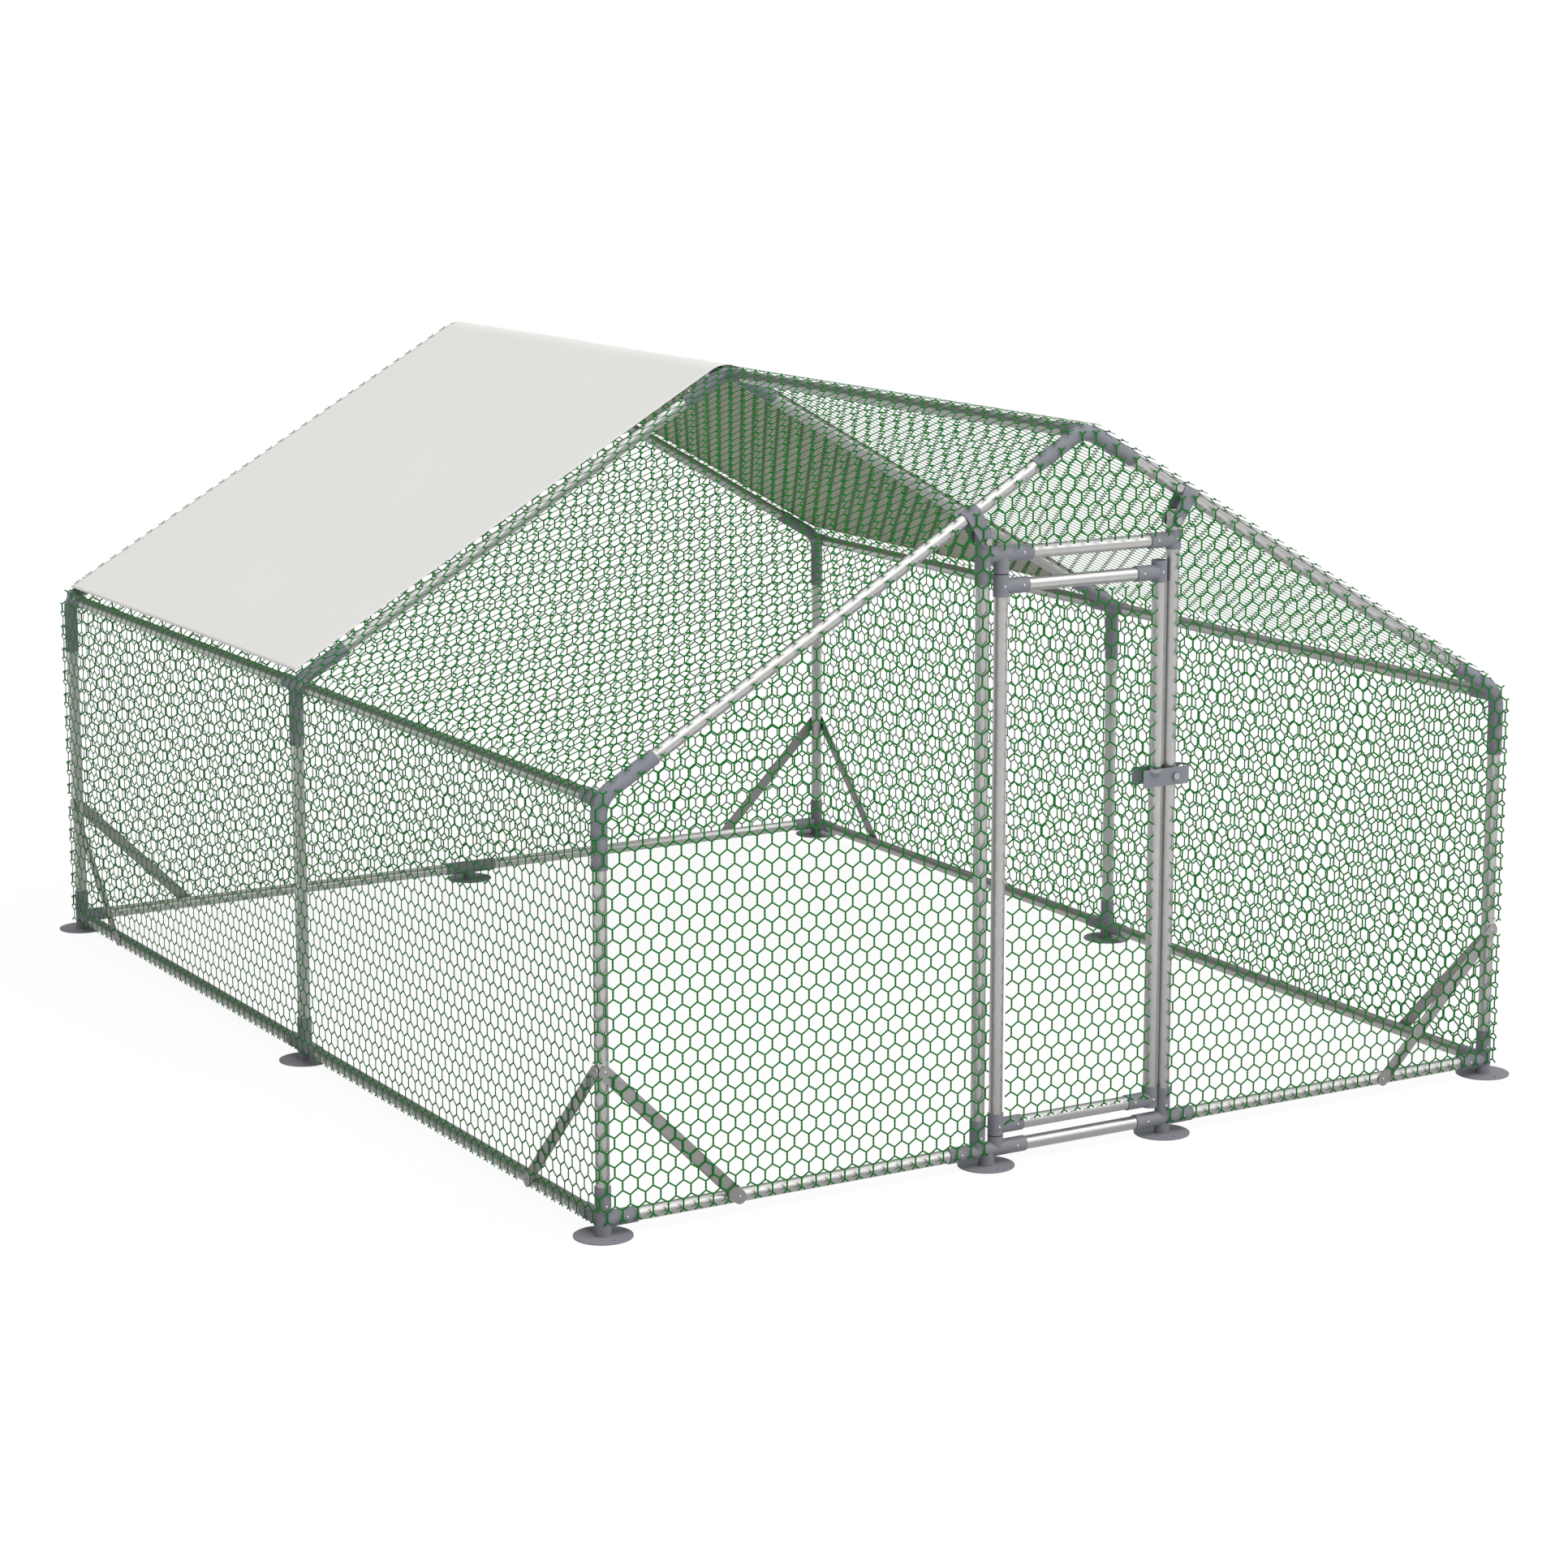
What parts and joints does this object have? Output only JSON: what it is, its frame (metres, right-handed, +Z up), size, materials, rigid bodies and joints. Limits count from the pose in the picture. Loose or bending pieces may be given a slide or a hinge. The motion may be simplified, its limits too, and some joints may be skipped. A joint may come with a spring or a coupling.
{
  "type": "chicken run",
  "caption": "Walk-in poultry run: gabled frame of galvanised tubes in grey sleeves, green hexagonal netting all round, a hinged door with a fork latch and a white cover on the rear bay.",
  "frame": {"origin": "on the ground at the middle of the footprint", "axes": "+Z up, +Y from the door to the rear, +X to the right seen from in front of the door"},
  "size_m": [3.16, 4.066, 2.0556],
  "materials": {
    "galvanised_tube": "bright galvanised",
    "grey_sleeve": "matt coated",
    "brace_grey": "matt coated",
    "net_green": "coated wire",
    "cover_white": "woven sheet",
    "zinc_screw": "bright zinc"
  },
  "bodies": {
    "frame": {"post_front_left": "galvanised_tube", "post_front_right": "galvanised_tube", "post_mid_left": "galvanised_tube", "post_mid_right": "galvanised_tube", "post_rear_left": "galvanised_tube", "post_rear_right": "galvanised_tube", "hinge_post": "galvanised_tube", "latch_post": "galvanised_tube", "left_sills": "galvanised_tube", "right_sills": "galvanised_tube", "rear_sills": "galvanised_tube", "front_left_sill": "galvanised_tube", "door_sill": "galvanised_tube", "front_right_sill": "galvanised_tube", "left_eave_rails": "galvanised_tube", "right_eave_rails": "galvanised_tube", "ridge_rails": "galvanised_tube", "front_rafters": "galvanised_tube", "mid_rafters": "galvanised_tube", "rear_rafters": "galvanised_tube", "door_header": "galvanised_tube", "corner_feet": "grey_sleeve", "mid_feet": "grey_sleeve", "rear_foot": "grey_sleeve", "hinge_foot": "grey_sleeve", "latch_foot": "grey_sleeve", "eave_corners": "grey_sleeve", "eave_mids": "grey_sleeve", "ridge_ends": "grey_sleeve", "ridge_mid": "grey_sleeve", "header_hinge_tee": "grey_sleeve", "header_latch_tee": "grey_sleeve", "hinge_side_strap": "grey_sleeve", "latch_side_strap": "grey_sleeve", "front_left_braces": "brace_grey", "front_right_braces": "brace_grey", "rear_left_braces": "brace_grey", "rear_right_braces": "brace_grey", "left_wall_net": "net_green", "right_wall_net": "net_green", "left_roof_net": "net_green", "right_roof_net": "net_green", "front_left_net": "net_green", "front_right_net": "net_green", "over_door_net": "net_green", "rear_net": "net_green", "rain_cover": "cover_white", "foot_screws": "zinc_screw", "upper_screws": "zinc_screw", "brace_bolts": "zinc_screw", "through_bolts": "zinc_screw"},
    "door": {"door_hinge_stile": "galvanised_tube", "door_latch_stile": "galvanised_tube", "door_rails": "galvanised_tube", "door_hinge_tees": "grey_sleeve", "door_latch_tees": "grey_sleeve", "door_net": "net_green", "door_screws": "zinc_screw"},
    "latch": {"latch_fork": "grey_sleeve"}
  },
  "joints": [
    {"name": "door_hinge", "type": "hinge", "parent": "frame", "child": "door", "pos_m": [-0.268, -1.953, 0], "axis": [0, 0, 1], "range_deg": [-110, 110]},
    {"name": "latch_pivot", "type": "hinge", "parent": "frame", "child": "latch", "pos_m": [0.3045, -1.953, 1.048], "axis": [0, 1, 0], "range_deg": [0, 90]}
  ]
}
